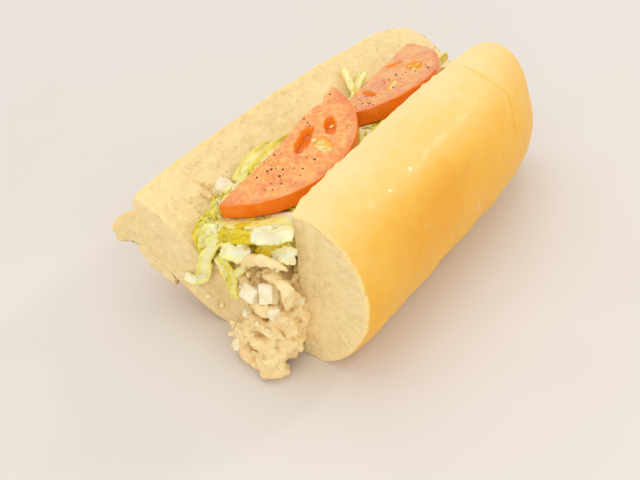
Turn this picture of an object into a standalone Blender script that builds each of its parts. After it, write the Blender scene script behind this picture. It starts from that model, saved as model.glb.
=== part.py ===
# Half of a submarine sandwich, cut straight across and opened like a book.
# The long roll is split along one side only, so its flat base (left) and its domed crown
# (right) are still joined by a hinge of crust along the bottom. Fish salad fills the V,
# shredded lettuce lies on it, and two half-moon tomato slices lie on the lettuce.
#
# Loaf coordinates: X across the roll (base at -X, crown at +X, hinge near X = 0), Y along it
# from the cut end (Y = 0) to the rounded tip, Z up from the table. The finished pieces are
# shifted by CENTRE so that the origin is the middle of the sandwich's footprint.
import math

import bmesh
import bpy
from mathutils import Matrix, Vector, noise

MM = 0.001

# Driving dimensions, in millimetres
ROLL_LENGTH = 163.0
CUT_SKEW = 0.13          # how far the knife ran off square, per millimetre across
CENTRE = (-28.6, 73.45)   # middle of the footprint, in loaf coordinates
GAP = 0.35               # kept between pieces that touch
CRUST_STEPS, CRUMB_STEPS = 24, 8    # how finely a half's section is drawn

# The two halves: hinge and rim are the ends of the flat crumb side (x, z) at the cut end.
# side is the way the crust bulges from it, drift how far the rim leans further on along the
# roll, swell how much wider the middle is, and pinch how much the knife squeezed the cut end.
# The tip values say how the baked end rounds off in height and in thickness.
BASE = {
    "hinge": (1.5, 1.0), "rim": (-67.8, 44.0), "drift": 0.0, "side": -1, "thickness": 20.5,
    "squareness": 2.05, "length": 163.0, "rim_tip": 42.0, "rim_bluntness": 2.6, "tip_rises": 0.24,
    "side_tip": 55.0, "side_bluntness": 2.1, "swell": 2.6, "pinch": 0.0, "seed": 1.0,
}
CROWN = {
    "hinge": (-3.5, -1.2), "rim": (-8.0, 60.0), "drift": -5.5, "side": 1, "thickness": 28.5,
    "squareness": 2.0, "length": 152.5, "rim_tip": 38.0, "rim_bluntness": 2.8, "tip_rises": 0.0,
    "side_tip": 62.0, "side_bluntness": 1.95, "swell": 0.0, "pinch": 0.08, "seed": 5.0,
}
PRESSED = 0.6            # how deep the underside is pressed flat on the table
# The tag of crust torn out beside the base: its outline (x, z) at the cut
FLAP = [(-65.0, 39.0), (-75.5, 32.5), (-81.0, 26.0), (-80.5, 19.5), (-73.0, 21.0), (-69.5, 16.5),
        (-65.0, 11.0), (-56.0, 8.0), (-54.0, 16.0), (-60.0, 30.0)]
FLAP_FRONT, FLAP_DEPTH = -10.5, 9.0

SLICE_RADIUS, SLICE_THICKNESS = 36.0, 6.0
CHORD_OFFSET = 9.6                            # from the slice's centre to its cut edge


def clear_scene():
    for obj in list(bpy.data.objects):
        bpy.data.objects.remove(obj)


def collection(name):
    made = bpy.data.collections.new(name)
    bpy.context.scene.collection.children.link(made)
    return made


def material(name, colour, roughness):
    made = bpy.data.materials.new(name)
    made.use_nodes = True
    shader = made.node_tree.nodes["Principled BSDF"]
    shader.inputs["Base Color"].default_value = (*colour, 1.0)
    shader.inputs["Roughness"].default_value = roughness
    shader.inputs["Metallic"].default_value = 0.0
    made.diffuse_color = (*colour, 1.0)
    return made


def object_from(bm, name, group):
    """A mesh object in metres, from a bmesh in millimetres."""
    bmesh.ops.scale(bm, vec=(MM, MM, MM), verts=bm.verts)
    mesh = bpy.data.meshes.new(name)
    bm.to_mesh(mesh)
    bm.free()
    obj = bpy.data.objects.new(name, mesh)
    group.objects.link(obj)
    return obj


def loft(rings, tip):
    """A closed skin through rings of equal length: flat over the first ring, pointed at tip."""
    bm = bmesh.new()
    rows = [[bm.verts.new(p) for p in ring] for ring in rings]
    count = len(rows[0])
    for near, far in zip(rows, rows[1:]):
        for i in range(count):
            j = (i + 1) % count
            bm.faces.new((near[i], near[j], far[j], far[i]))
    bm.faces.new(rows[0])
    end = bm.verts.new(tip)
    for i in range(count):
        bm.faces.new((rows[-1][i], rows[-1][(i + 1) % count], end))
    bmesh.ops.recalc_face_normals(bm, faces=bm.faces)
    return bm


def frozen(obj):
    """Replaces the object's mesh by its evaluated one, and drops its modifiers."""
    bpy.context.view_layer.update()
    graph = bpy.context.evaluated_depsgraph_get()
    mesh = bpy.data.meshes.new_from_object(obj.evaluated_get(graph))
    obj.modifiers.clear()
    obj.data = mesh
    return obj


def boolean(obj, cutter, operation):
    modifier = obj.modifiers.new(operation.lower(), "BOOLEAN")
    modifier.operation = operation
    modifier.object = cutter
    return frozen(obj)


def keep_largest_body(obj):
    """Deletes crumbs that a cut has left beside the main body."""
    bm = bmesh.new()
    bm.from_mesh(obj.data)
    left = set(bm.verts)
    bodies = []
    while left:
        found, queue = set(), [left.pop()]
        while queue:
            v = queue.pop()
            found.add(v)
            for e in v.link_edges:
                w = e.other_vert(v)
                if w in left:
                    left.remove(w)
                    queue.append(w)
        bodies.append(found)
    bodies.sort(key=len)
    bmesh.ops.delete(bm, geom=[v for body in bodies[:-1] for v in body], context="VERTS")
    bm.to_mesh(obj.data)
    bm.free()


def as_cutter(obj, name, cutters, gap=GAP):
    """A hidden copy of the object, swollen by the gap, that cuts its neighbours clear."""
    copy = bpy.data.objects.new(name, obj.data.copy())
    cutters.objects.link(copy)
    copy.hide_render = True
    copy.display_type = "WIRE"
    push = copy.modifiers.new("swell", "DISPLACE")
    push.mid_level = 0.0
    push.strength = gap * MM
    return frozen(copy)


def uneven(point, size, depth, seed=0.0):
    """Smooth noise at a point in millimetres: size is the lumps' width, depth their height."""
    return depth * noise.noise(Vector(point) / size + Vector((seed, seed * 0.7, -seed)))


def place_along(y, x):
    """Y of a point of the section at y: the knife's cut is skewed over the base, and the tip isn't."""
    return y + CUT_SKEW * min(x, 0.0) * (1.0 - y / ROLL_LENGTH)


def rounded_tip(y, length, tip, bluntness):
    """How much of the full section is left at y: 1 along the roll, 0 at its very tip."""
    into = min(1.0, max(0.0, (y - (length - tip)) / tip))
    return (1.0 - into ** bluntness) ** (1.0 / bluntness)


def half_roll(half):
    """One half of the roll: a D section, flat side in, swept along Y and rounded at the tip."""
    hinge, rim = Vector(half["hinge"]), Vector(half["rim"])
    width, length = (rim - hinge).length, half["length"]

    def section(y):
        tall = rounded_tip(y, length, half["rim_tip"], half["rim_bluntness"])
        thick = rounded_tip(y, length, half["side_tip"], half["side_bluntness"])
        leaning = rim + Vector((half["drift"] * min(y / 80.0, 1.0), 0.0))
        up = (leaning - hinge).normalized()
        wide = width + half["swell"] * math.sin(math.pi * min(1.0, y / 120.0)) ** 0.5
        squeezed = 1.0 - half["pinch"] * max(0.0, 1.0 - y / 7.0) ** 2
        out = Vector((up.y, -up.x)) * half["side"]
        ring = []
        for i in range(CRUST_STEPS + CRUMB_STEPS):
            if i < CRUST_STEPS:                # the crust, from the hinge round to the rim
                angle = math.pi * i / CRUST_STEPS
                power = 2.0 / half["squareness"]
                c = math.cos(angle)
                v = 0.5 - 0.5 * math.copysign(abs(c) ** power, c)
                u = half["thickness"] * math.sin(angle) ** power
            else:                              # the crumb, from the rim back to the hinge
                v = 1.0 - (i - CRUST_STEPS) / CRUMB_STEPS
                u = 0.0
            v = 0.5 + (v - 0.5) * tall + (1.0 - tall) * half["tip_rises"]
            p = hinge + up * v * wide * (0.5 + 0.5 * squeezed) + out * u * thick * squeezed
            lump = uneven((p.x, y, p.y), 24.0, 1.1, half["seed"])
            lump += uneven((p.x, y, p.y), 9.0, 0.45, half["seed"] + 3)
            p = p + out * lump * tall
            ring.append(Vector((p.x, place_along(y, p.x), p.y)))
        return ring

    straight = length - half["side_tip"]
    stations = [0.0, 2.5, 6.0] + [straight * k / 9 for k in range(1, 9)]
    for k in range(13):
        stations.append(straight + half["side_tip"] * math.sin(math.radians(86 * k / 12)))
    rings = [section(y) for y in stations]
    middle = sum(rings[-1], Vector()) / len(rings[-1])
    return loft(rings, middle + Vector((0.0, 0.8, 0.0)))


def torn_flap(group):
    """The tag of crust that the knife dragged out of the base's edge, at the cut end."""
    root = Vector((-60.0, 0.0, 22.0))
    rings = []
    for k, share in enumerate((0.9, 1.0, 0.97, 0.86, 0.6)):
        y = FLAP_FRONT + FLAP_DEPTH * k / 4
        ring = []
        for x, z in FLAP:
            p = root + (Vector((x, 0.0, z)) - root) * share
            ring.append(p + Vector((0.0, y + 0.12 * (x - root.x), 0.0)))
        rings.append(ring)
    flap = object_from(loft(rings, root + Vector((0.0, FLAP_FRONT + FLAP_DEPTH, 0.0))), "torn_flap", group)
    soft = flap.modifiers.new("soft", "SUBSURF")
    soft.levels = soft.render_levels = 1
    return frozen(flap)


def press_flat(obj):
    """Cuts away whatever lies below the table."""
    bpy.ops.mesh.primitive_cube_add(size=0.4, location=(0.0, 0.08, -0.2))
    table = bpy.context.active_object
    boolean(obj, table, "DIFFERENCE")
    bpy.data.objects.remove(table)


def make_roll(parts, cutters):
    """Base, crown and flap joined at the hinge, then pressed flat where they meet the table.
    Gives back the roll, and swollen copies of its halves that cut the filling clear of it."""
    base = object_from(half_roll(BASE), "roll", parts)
    crown = object_from(half_roll(CROWN), "crown", cutters)
    flap = torn_flap(cutters)
    for piece in (base, crown, flap):
        piece.data.transform(Matrix.Translation((0.0, 0.0, -PRESSED * MM)))
    clearers = [as_cutter(base, "base_clearer", cutters), as_cutter(crown, "crown_clearer", cutters)]
    boolean(base, crown, "UNION")
    boolean(base, flap, "UNION")
    for helper in (crown, flap):
        bpy.data.objects.remove(helper)
    press_flat(base)
    return base, clearers


def lump_pile(name, group, lumps, cell, seed):
    """One closed body from overlapping lumps, each (centre, radii), in millimetres."""
    bm = bmesh.new()
    for centre, radii in lumps:
        made = bmesh.ops.create_icosphere(bm, subdivisions=3, radius=1.0)["verts"]
        bmesh.ops.scale(bm, vec=radii, verts=made)
        bmesh.ops.translate(bm, vec=centre, verts=made)
    pile = object_from(bm, name, group)
    remesh(pile, cell * 0.8)
    for v in pile.data.vertices:
        p = v.co / MM
        v.co += v.normal * MM * (uneven(p, 11.0, 2.4, seed) + uneven(p, 6.0, 1.2, seed + 4))
    remesh(pile, cell)
    return pile


def remesh(obj, cell):
    skin = obj.modifiers.new("skin", "REMESH")
    skin.mode = "VOXEL"
    skin.voxel_size = cell * MM
    frozen(obj)


def make_salad(parts, cutters, clearers):
    """The fish salad: a ridge in the V that slumps out of the cut end on to the table."""
    lumps = []
    for k in range(12):
        y = 3.0 + 10.0 * k
        lumps.append(((-18.5, y, 22.0), (13.0, 10.0, 15.0)))
        lumps.append(((-11.0, y, 11.0), (8.0, 10.0, 9.0)))
        lumps.append(((-29.0, y, 28.0), (9.0, 10.0, 8.0)))
    lumps += [
        ((-14.0, -2.5, 26.0), (9.5, 7.0, 9.0)),
        ((-10.0, -4.0, 17.0), (9.0, 8.5, 9.0)),
        ((-12.5, -8.0, 8.5), (9.5, 8.0, 8.5)),
        ((-7.0, -10.5, 4.5), (6.8, 7.5, 5.2)),
        ((-18.5, -8.5, 4.0), (6.2, 6.0, 4.6)),
        ((-3.8, -15.5, 2.7), (4.2, 4.6, 3.6)),
    ]
    salad = lump_pile("fish_salad", parts, lumps, 4.0, 11.0)
    clearer = as_cutter(salad, "salad_clearer", cutters, gap=2 * GAP)
    for cutter in clearers:
        boolean(salad, cutter, "DIFFERENCE")
    press_flat(salad)
    keep_largest_body(salad)
    return salad, clearer


def make_lettuce(parts, clearers):
    """The heap of shredded lettuce over the salad, under the tomato."""
    lumps = []
    for k in range(12):
        y = 6.0 + 10.6 * k
        lumps.append(((-30.0, y, 38.5), (16.0, 10.0, 9.0)))
        lumps.append(((-17.0, y, 40.0), (9.0, 10.0, 8.0)))
        lumps.append(((-43.0, y, 35.0), (9.5, 9.0, 8.5)))
    lumps += [
        ((-34.0, -1.5, 31.5), (10.0, 5.5, 9.0)),
        ((-43.0, -2.5, 27.0), (5.5, 4.5, 11.0)),
        ((-20.0, -1.0, 39.0), (11.0, 5.0, 7.0)),
    ]
    lettuce = lump_pile("lettuce", parts, lumps, 4.4, 21.0)
    for cutter in clearers:
        boolean(lettuce, cutter, "DIFFERENCE")
    keep_largest_body(lettuce)
    return lettuce


def chamber(centre, radii, turn):
    """A seed chamber: an egg-shaped pocket in a slice, in the slice's own plane."""
    bm = bmesh.new()
    bmesh.ops.create_uvsphere(bm, u_segments=14, v_segments=8, radius=1.0)
    bmesh.ops.scale(bm, vec=(radii[0], radii[1], SLICE_THICKNESS * 0.6), verts=bm.verts)
    bmesh.ops.rotate(bm, matrix=Matrix.Rotation(math.radians(turn), 3, "Z"), verts=bm.verts)
    bmesh.ops.translate(bm, vec=(*centre, 0.2), verts=bm.verts)
    return bm


def make_slice(name, parts, cutters, pose, chambers):
    """A half-moon slice. Its own X runs along the cut edge towards the near end, its own Y from
    there to the skin; its top face is Z = 0. Gives back the slice and its clearing copy."""
    bm = bmesh.new()
    bmesh.ops.create_cone(
        bm, cap_ends=True, segments=72, radius1=SLICE_RADIUS - 0.8, radius2=SLICE_RADIUS,
        depth=SLICE_THICKNESS,
        matrix=Matrix.Translation((0.0, -CHORD_OFFSET, -SLICE_THICKNESS / 2)),
    )
    everything = [*bm.verts, *bm.edges, *bm.faces]
    cut = bmesh.ops.bisect_plane(bm, geom=everything, plane_no=(0, -1, 0), clear_outer=True)
    cut_edges = [e for e in cut["geom_cut"] if isinstance(e, bmesh.types.BMEdge)]
    bmesh.ops.holes_fill(bm, edges=cut_edges)
    bmesh.ops.recalc_face_normals(bm, faces=bm.faces)
    piece = object_from(bm, name, parts)
    edge = piece.modifiers.new("edge", "BEVEL")
    edge.width = 0.5 * MM
    edge.segments = 1
    edge.limit_method = "ANGLE"
    edge.angle_limit = math.radians(50)
    frozen(piece)
    clearer = as_cutter(piece, name + "_clearer", cutters)
    for k, (centre, radii, turn) in enumerate(chambers):
        cutter = object_from(chamber(centre, radii, turn), f"{name}_chamber_{k}", cutters)
        boolean(piece, cutter, "DIFFERENCE")
        bpy.data.objects.remove(cutter)
    for obj in (piece, clearer):
        obj.data.transform(slice_matrix(*pose))
    return piece, clearer


def slice_matrix(middle, heading, pitch, roll):
    """Lays a slice with the middle of its cut edge at a point: heading turns it about Z,
    pitch lifts its far end and roll lifts its skin side, all in degrees."""
    return (
        Matrix.Translation(Vector(middle) * MM)
        @ Matrix.Rotation(math.radians(heading - 90), 4, "Z")
        @ Matrix.Rotation(math.radians(pitch), 4, "Y")
        @ Matrix.Rotation(math.radians(roll), 4, "X")
    )


def smooth(obj, degrees):
    obj.data.shade_smooth()
    obj.data.set_sharp_from_angle(angle=math.radians(degrees))


def main():
    clear_scene()
    parts = collection("submarine_sandwich")
    cutters = collection("cutters")

    roll, roll_clearers = make_roll(parts, cutters)
    salad, salad_clearer = make_salad(parts, cutters, roll_clearers)
    front, front_clearer = make_slice(
        "tomato_front", parts, cutters, ((-41.9, 37.4, 50.2), 0.6, 10.3, 5.5),
        [((-6.0, 7.0), (7.0, 2.8), -25), ((-14.0, 12.5), (4.6, 2.2), 40)],
    )
    rear, rear_clearer = make_slice(
        "tomato_rear", parts, cutters, ((-43.5, 99.5, 46.6), 7.0, -0.8, 19.0),
        [((-13.5, 12.0), (4.0, 2.8), 60), ((-12.0, 4.2), (4.2, 1.8), -10), ((14.5, 6.5), (3.6, 2.0), -35)],
    )
    lettuce = make_lettuce(parts, [*roll_clearers, salad_clearer, front_clearer, rear_clearer])

    looks = {
        roll: material("bread", (0.85, 0.60, 0.24), 0.55),
        salad: material("fish_salad", (0.83, 0.66, 0.46), 0.5),
        lettuce: material("lettuce", (0.78, 0.76, 0.28), 0.4),
        front: material("tomato", (0.82, 0.25, 0.08), 0.3),
    }
    looks[rear] = looks[front]
    for obj, look in looks.items():
        obj.data.materials.clear()
        obj.data.materials.append(look)
        obj.location = (-CENTRE[0] * MM, -CENTRE[1] * MM, 0.0)
        smooth(obj, 40)


main()
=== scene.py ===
# Half of a submarine sandwich, opened like a book: roll, fish salad, lettuce and two tomato slices.
# Shapes are worked out in loaf millimetres: X across, Y along from the cut end, Z up.
import math
import random

import bpy
import numpy as np
from mathutils import Matrix, Vector, noise
from mathutils.bvhtree import BVHTree
from mathutils.kdtree import KDTree


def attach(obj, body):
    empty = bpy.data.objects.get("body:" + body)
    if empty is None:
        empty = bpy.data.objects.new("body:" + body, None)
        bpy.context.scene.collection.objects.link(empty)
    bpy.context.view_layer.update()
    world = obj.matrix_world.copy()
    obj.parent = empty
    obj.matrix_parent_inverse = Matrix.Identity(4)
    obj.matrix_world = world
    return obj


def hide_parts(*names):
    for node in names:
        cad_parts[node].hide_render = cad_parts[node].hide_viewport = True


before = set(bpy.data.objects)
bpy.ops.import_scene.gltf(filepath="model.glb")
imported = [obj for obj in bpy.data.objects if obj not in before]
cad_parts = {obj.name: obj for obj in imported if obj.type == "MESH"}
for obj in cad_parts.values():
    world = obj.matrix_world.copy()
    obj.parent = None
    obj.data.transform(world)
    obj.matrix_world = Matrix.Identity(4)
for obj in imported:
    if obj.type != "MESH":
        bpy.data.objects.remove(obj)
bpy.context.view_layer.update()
bpy.ops.object.select_all(action="DESELECT")

loafCentre = Vector((-28.6, 73.45, 0.0))   # the row frame's origin, in loaf millimetres
mm = 0.001


# small helpers
def toRow(p):   # loaf millimetres to row metres
    return (Vector(p) - loafCentre) * mm


def deselect():
    if bpy.context.object and bpy.context.object.mode != "OBJECT":
        bpy.ops.object.mode_set(mode="OBJECT")
    bpy.ops.object.select_all(action="DESELECT")


def activate(obj):
    deselect()
    obj.select_set(True)
    bpy.context.view_layer.objects.active = obj


def applyModifier(obj, kind, **settings):
    activate(obj)
    mod = obj.modifiers.new(kind.lower(), kind)
    for key, value in settings.items():
        setattr(mod, key, value)
    bpy.ops.object.modifier_apply(modifier=mod.name)


def getCoords(obj):   # vertex places in loaf millimetres
    co = np.empty(len(obj.data.vertices) * 3)
    obj.data.vertices.foreach_get("co", co)
    return co.reshape(-1, 3) / mm + np.array(loafCentre)


def setCoords(obj, points):
    co = (np.asarray(points) - np.array(loafCentre)) * mm
    obj.data.vertices.foreach_set("co", co.ravel())
    obj.data.update()


def getNormals(obj):
    nor = np.empty(len(obj.data.vertices) * 3)
    obj.data.vertices.foreach_get("normal", nor)
    return nor.reshape(-1, 3)


def paint(obj, name, values):   # a float on every vertex, for the materials
    layer = obj.data.attributes.get(name) or obj.data.attributes.new(name, "FLOAT", "POINT")
    layer.data.foreach_set("value", np.asarray(values, dtype=np.float32))


def readPaint(obj, name):
    values = np.zeros(len(obj.data.vertices), dtype=np.float32)
    obj.data.attributes[name].data.foreach_get("value", values)
    return values


def lumps(points, size, seed=0.0):   # smooth noise, about -1 to 1
    off = Vector((seed * 3.1, seed * 1.7, -seed * 2.3))
    return np.array([noise.noise(Vector(p) / size + off) for p in points])


def pits(points, size, seed=0.0):   # 1 at the middle of a pore, 0 outside it; pores vary
    off = Vector((seed * 2.3, -seed * 1.1, seed * 1.9))
    out = np.zeros(len(points))
    for i, p in enumerate(points):
        near, spots = noise.voronoi(Vector(p) / size + off)
        wide = 0.18 + 0.42 * abs(noise.noise(spots[0] * 7.3))
        out[i] = max(0.0, 1.0 - near[0] / wide)
    return out


def softStep(x, low, high):
    t = np.clip((np.asarray(x, dtype=float) - low) / (high - low), 0.0, 1.0)
    return t * t * (3.0 - 2.0 * t)


def gridSheet(name, columns, rows, place):
    # a primitive grid whose vertices are moved to place(columnShare, rowShare) arrays
    deselect()
    bpy.ops.mesh.primitive_grid_add(x_subdivisions=columns, y_subdivisions=rows, size=2.0)
    obj = bpy.context.object
    obj.name = name
    co = np.empty(len(obj.data.vertices) * 3)
    obj.data.vertices.foreach_get("co", co)
    co = co.reshape(-1, 3)
    points, painted = place((co[:, 0] + 1) / 2, (co[:, 1] + 1) / 2)
    setCoords(obj, points)
    for key, values in painted.items():
        paint(obj, key, values)
    return obj


def alongPath(path, share):   # a smooth curve through the path's points
    share = min(max(share, 0.0), 1.0) * (len(path) - 1)
    i = min(int(share), len(path) - 2)
    w = share - i
    a, b = path[i], path[i + 1]
    before, after = path[max(i - 1, 0)], path[min(i + 2, len(path) - 1)]
    return 0.5 * ((2 * a) + (b - before) * w + (2 * before - 5 * a + 4 * b - after) * w * w
                  + (3 * a - before - 3 * b + after) * w ** 3)


def ownCopy(obj):   # a copy with its own mesh
    copy = obj.copy()
    copy.data = obj.data.copy()
    bpy.context.scene.collection.objects.link(copy)
    return copy


def shadeSmooth(obj):
    activate(obj)
    bpy.ops.object.shade_smooth()


def closeHoles(obj):
    activate(obj)
    bpy.ops.object.mode_set(mode="EDIT")
    bpy.ops.mesh.select_all(action="DESELECT")
    bpy.ops.mesh.select_non_manifold()
    bpy.ops.mesh.fill_holes(sides=0)
    bpy.ops.mesh.select_all(action="SELECT")
    bpy.ops.mesh.normals_make_consistent(inside=False)
    bpy.ops.object.mode_set(mode="OBJECT")


def skinOf(obj):   # finds the nearest or the first place on a piece, in row metres
    mesh = obj.data
    return BVHTree.FromPolygons([v.co for v in mesh.vertices], [p.vertices for p in mesh.polygons])


def hollows(obj, passes):   # how far each vertex lies under a smoothed copy, in millimetres
    copy = ownCopy(obj)
    before, normals = getCoords(obj), getNormals(obj)
    applyModifier(copy, "SMOOTH", factor=0.7, iterations=passes)
    after = getCoords(copy)
    bpy.data.objects.remove(copy)
    return np.sum((after - before) * normals, axis=1)


def joined(name, parts):
    deselect()
    for part in parts:
        part.select_set(True)
    bpy.context.view_layer.objects.active = parts[0]
    if len(parts) > 1:
        bpy.ops.object.join()
    obj = bpy.context.object
    obj.name = name
    obj.data.name = name
    return obj


def tidyMesh(obj, distance=0.00002):
    activate(obj)
    bpy.ops.object.mode_set(mode="EDIT")
    bpy.ops.mesh.select_all(action="SELECT")
    bpy.ops.mesh.remove_doubles(threshold=distance)
    bpy.ops.mesh.select_all(action="SELECT")
    bpy.ops.mesh.normals_make_consistent(inside=False)
    bpy.ops.object.mode_set(mode="OBJECT")
    bpy.ops.object.shade_smooth()


def nodeCopy(node, name):   # a merged copy of a CAD node that can be reworked
    obj = bpy.data.objects.new(name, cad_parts[node].data.copy())
    bpy.context.scene.collection.objects.link(obj)
    obj.data.materials.clear()
    tidyMesh(obj)
    return obj


def finished(obj, node, material, body="root"):
    obj.data.materials.clear()
    obj.data.materials.append(material)
    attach(obj, body)
    if node:
        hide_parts(*([node] if isinstance(node, str) else node))
    return obj


# shader maths
def srgb(r, g, b):
    def one(c):
        c = c / 255
        return c / 12.92 if c <= 0.04045 else ((c + 0.055) / 1.055) ** 2.4
    return (one(r), one(g), one(b), 1.0)


class Wire:
    # one output socket; arithmetic on it adds Math nodes
    def __init__(self, tree, socket=None):
        self.tree, self.socket = tree, socket

    def make(self, kind, inputs=None, settings=None, out=0):
        node = self.tree.nodes.new(kind)
        for key, value in (settings or {}).items():
            if key == "stops":
                ramp = node.color_ramp
                while len(ramp.elements) < len(value):
                    ramp.elements.new(0.5)
                for element, (at, colour) in zip(ramp.elements, value):
                    element.position, element.color = at, colour
            else:
                setattr(node, key, value)
        for key, value in (inputs or {}).items():
            socket = node.inputs[key]
            if isinstance(value, Wire):
                self.tree.links.new(value.socket, socket)
            else:
                socket.default_value = value
        return Wire(self.tree, node.outputs[out])

    def sum(self, operation, *others):
        values = {i: v for i, v in enumerate(others)}
        return self.make("ShaderNodeMath", values, {"operation": operation})

    def __add__(self, other):
        return self.sum("ADD", self, other)

    def __radd__(self, other):
        return self.sum("ADD", other, self)

    def __sub__(self, other):
        return self.sum("SUBTRACT", self, other)

    def __rsub__(self, other):
        return self.sum("SUBTRACT", other, self)

    def __mul__(self, other):
        return self.sum("MULTIPLY", self, other)

    def __rmul__(self, other):
        return self.sum("MULTIPLY", other, self)

    def clamped(self):
        return self.make("ShaderNodeClamp", {"Value": self})

    def ranged(self, low, high, outLow=0.0, outHigh=1.0):
        values = {"Value": self, "From Min": low, "From Max": high, "To Min": outLow, "To Max": outHigh}
        return self.make("ShaderNodeMapRange", values, {"interpolation_type": "SMOOTHSTEP"})

    def blend(self, first, second):   # first where this is 0, second where it is 1
        values = {0: self, 6: first, 7: second}
        return self.make("ShaderNodeMix", values, {"data_type": "RGBA"}, out=2)

    def attribute(self, name):
        return self.make("ShaderNodeAttribute", None, {"attribute_name": name}, out=2)

    def noise(self, where, scale, detail=3.0, rough=0.55):
        values = {"Vector": where, "Scale": scale, "Detail": detail, "Roughness": rough}
        return self.make("ShaderNodeTexNoise", values)

    def bump(self, height, strength, distance=0.0005):
        values = {"Height": height, "Strength": strength, "Distance": distance}
        return self.make("ShaderNodeBump", values)


def newMaterial(name, constants):
    mat = bpy.data.materials.new(name)
    mat.use_nodes = True
    tree = mat.node_tree
    shader = tree.nodes["Principled BSDF"]
    for key, value in constants.items():
        shader.inputs[key].default_value = value
    start = Wire(tree)
    where = start.make("ShaderNodeTexCoord", out=3)

    def plug(name, wire):
        tree.links.new(wire.socket, shader.inputs[name])
    return mat, start, where, plug


soft = {"Subsurface Weight": 0.12, "Subsurface Scale": 0.002, "Subsurface Radius": (1.0, 0.5, 0.25)}


# bread
breadLook = {
    "palest": srgb(251, 220, 156), "pale": srgb(250, 207, 118), "golden": srgb(248, 188, 68),
    "deep": srgb(243, 172, 44), "crumb": srgb(250, 226, 170), "crumbShade": srgb(240, 212, 152),
    # poreShade: painted shade that darkens the crumb's pores and tiny holes
    "poreShade": srgb(214, 180, 116), "rind": srgb(252, 222, 152),
}


def breadMaterial():
    look = breadLook
    mat, start, where, plug = newMaterial("baked_bread", dict(soft, **{"Coat Roughness": 0.16, "IOR": 1.4}))
    bake = start.attribute("bake")        # 0 pale at the rim, 1 well browned
    crumb = start.attribute("crumb")      # 1 on cut bread, 0 on crust
    rind = start.attribute("rind")        # millimetres from the crust, on cut bread
    # where the pores sink in, used for their painted shade
    pit = start.attribute("pit")
    broad = start.noise(where, 38.0, 4.0)
    fine = start.noise(where, 260.0, 5.0, 0.65)
    streaks = start.noise(where, 125.0, 5.0, 0.7)
    browned = (bake + (broad - 0.5) * 0.5 + (streaks - 0.5) * 0.3 + (fine - 0.5) * 0.2).clamped()
    stops = [(0.0, look["palest"]), (0.3, look["pale"]), (0.7, look["golden"]), (1.0, look["deep"])]
    crustColour = start.make("ShaderNodeValToRGB", {"Fac": browned}, {"stops": stops})
    grain = start.noise(where, 420.0, 3.0, 0.6)
    patch = start.noise(where, 110.0, 3.0)
    speckle = start.noise(where, 700.0, 2.0, 0.5)
    inside = grain.ranged(0.3, 0.72).blend(look["crumbShade"], look["crumb"])
    inside = patch.ranged(0.35, 0.6, 0.5, 0.0).blend(inside, look["crumb"])
    # painted shade: tiny dark specks and the pores' pits take the darker pore colour as the shade inside them
    inside = (speckle.ranged(0.52, 0.72) * patch.ranged(0.4, 0.62, 0.08, 0.34)).blend(inside, look["poreShade"])
    inside = pit.ranged(0.1, 0.9, 0.0, 0.5).blend(inside, look["poreShade"])
    inside = rind.ranged(0.3, 2.2).blend(look["rind"], inside)
    plug("Base Color", crumb.blend(crustColour, inside))
    dots = start.noise(where, 300.0, 2.0).ranged(0.58, 0.68)
    glazed = dots * start.noise(where, 60.0, 1.0).ranged(0.5, 0.62)
    plug("Roughness", crumb.ranged(0.0, 1.0, 0.48, 0.92))
    plug("Coat Weight", (1.0 - crumb) * (glazed * 0.9 + 0.05))
    cells = start.make("ShaderNodeTexVoronoi", {"Vector": where, "Scale": 620.0})
    height = (cells * 0.35 + grain * 0.45) * crumb + fine * 0.2
    plug("Normal", start.bump(height, 0.5))
    return mat


halves = {   # millimetres; the tips' blunt values and squareness are powers, pale and stain are shares
    "base": {
        "hinge": (1.5, 1.0), "rim": (-67.8, 44.0), "drift": 0.0, "side": -1, "thickness": 20.5,
        "squareness": 2.05, "length": 163.0, "rimTip": 42.0, "rimBlunt": 2.6, "tipRises": 0.24,
        "sideTip": 55.0, "sideBlunt": 2.1, "swell": 2.6, "pinch": 0.0, "seed": 1.0,
        "across": 170, "along": 250, "deep": 40,   # faces of the sheets
        "paleFrom": 0.45, "paleRim": 0.7, "paleTip": 0.2, "stain": 0.0, "stainAt": (0.0, 0.5),
    },
    "crown": {
        "hinge": (-3.5, -1.2), "rim": (-8.0, 60.0), "drift": -5.5, "side": 1, "thickness": 28.5,
        "squareness": 2.0, "length": 152.5, "rimTip": 38.0, "rimBlunt": 2.8, "tipRises": 0.0,
        "sideTip": 62.0, "sideBlunt": 1.95, "swell": 0.0, "pinch": 0.08, "seed": 5.0,
        "across": 168, "along": 236, "deep": 54,
        "paleFrom": 0.78, "paleRim": 0.2, "paleTip": 0.1, "stain": 1.0, "stainAt": (50.0, 0.66),
    },
}
rollShape = {
    "length": 163.0, "cutSkew": 0.13, "pressed": 0.6,
    "leanWithin": 80.0, "swellWithin": 120.0, "pinchWithin": 7.0,   # along from the cut end
    "broadLump": (1.1, 24.0), "smallLump": (0.45, 9.0),   # height and size
}
bakeLook = {
    "least": 0.2, "bulge": 0.58, "stain": 0.3, "cutEnd": 0.2,
    "tipLong": 42.0, "stainLong": 26.0, "stainTall": 0.17,   # millimetres, and a share of the height
}
crumbShape = {   # millimetres, on the cut bread
    "bigPore": 2.6, "smallPore": 1.25, "bigDeep": 0.6, "smallDeep": 0.35, "tornWithin": 1.6,
    "rubbedWithin": 2.2, "scuffWithin": 1.2, "scuffTall": 0.8,
}
crackLook = {
    "path": [(-8, 109, 59), (-2, 109, 58), (3, 110, 55), (8, 113, 51), (12, 111, 47),
             (15, 109, 43), (16, 108, 39)],
    # creaseShade: painted shade that darkens the crack's crease
    "wide": 0.55, "deep": 0.45, "creaseShade": 0.3, "stations": 240,
}


def tipShare(y, length, tip, blunt):
    into = np.clip((y - (length - tip)) / tip, 0.0, 1.0)
    return (1.0 - into ** blunt) ** (1.0 / blunt)


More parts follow.
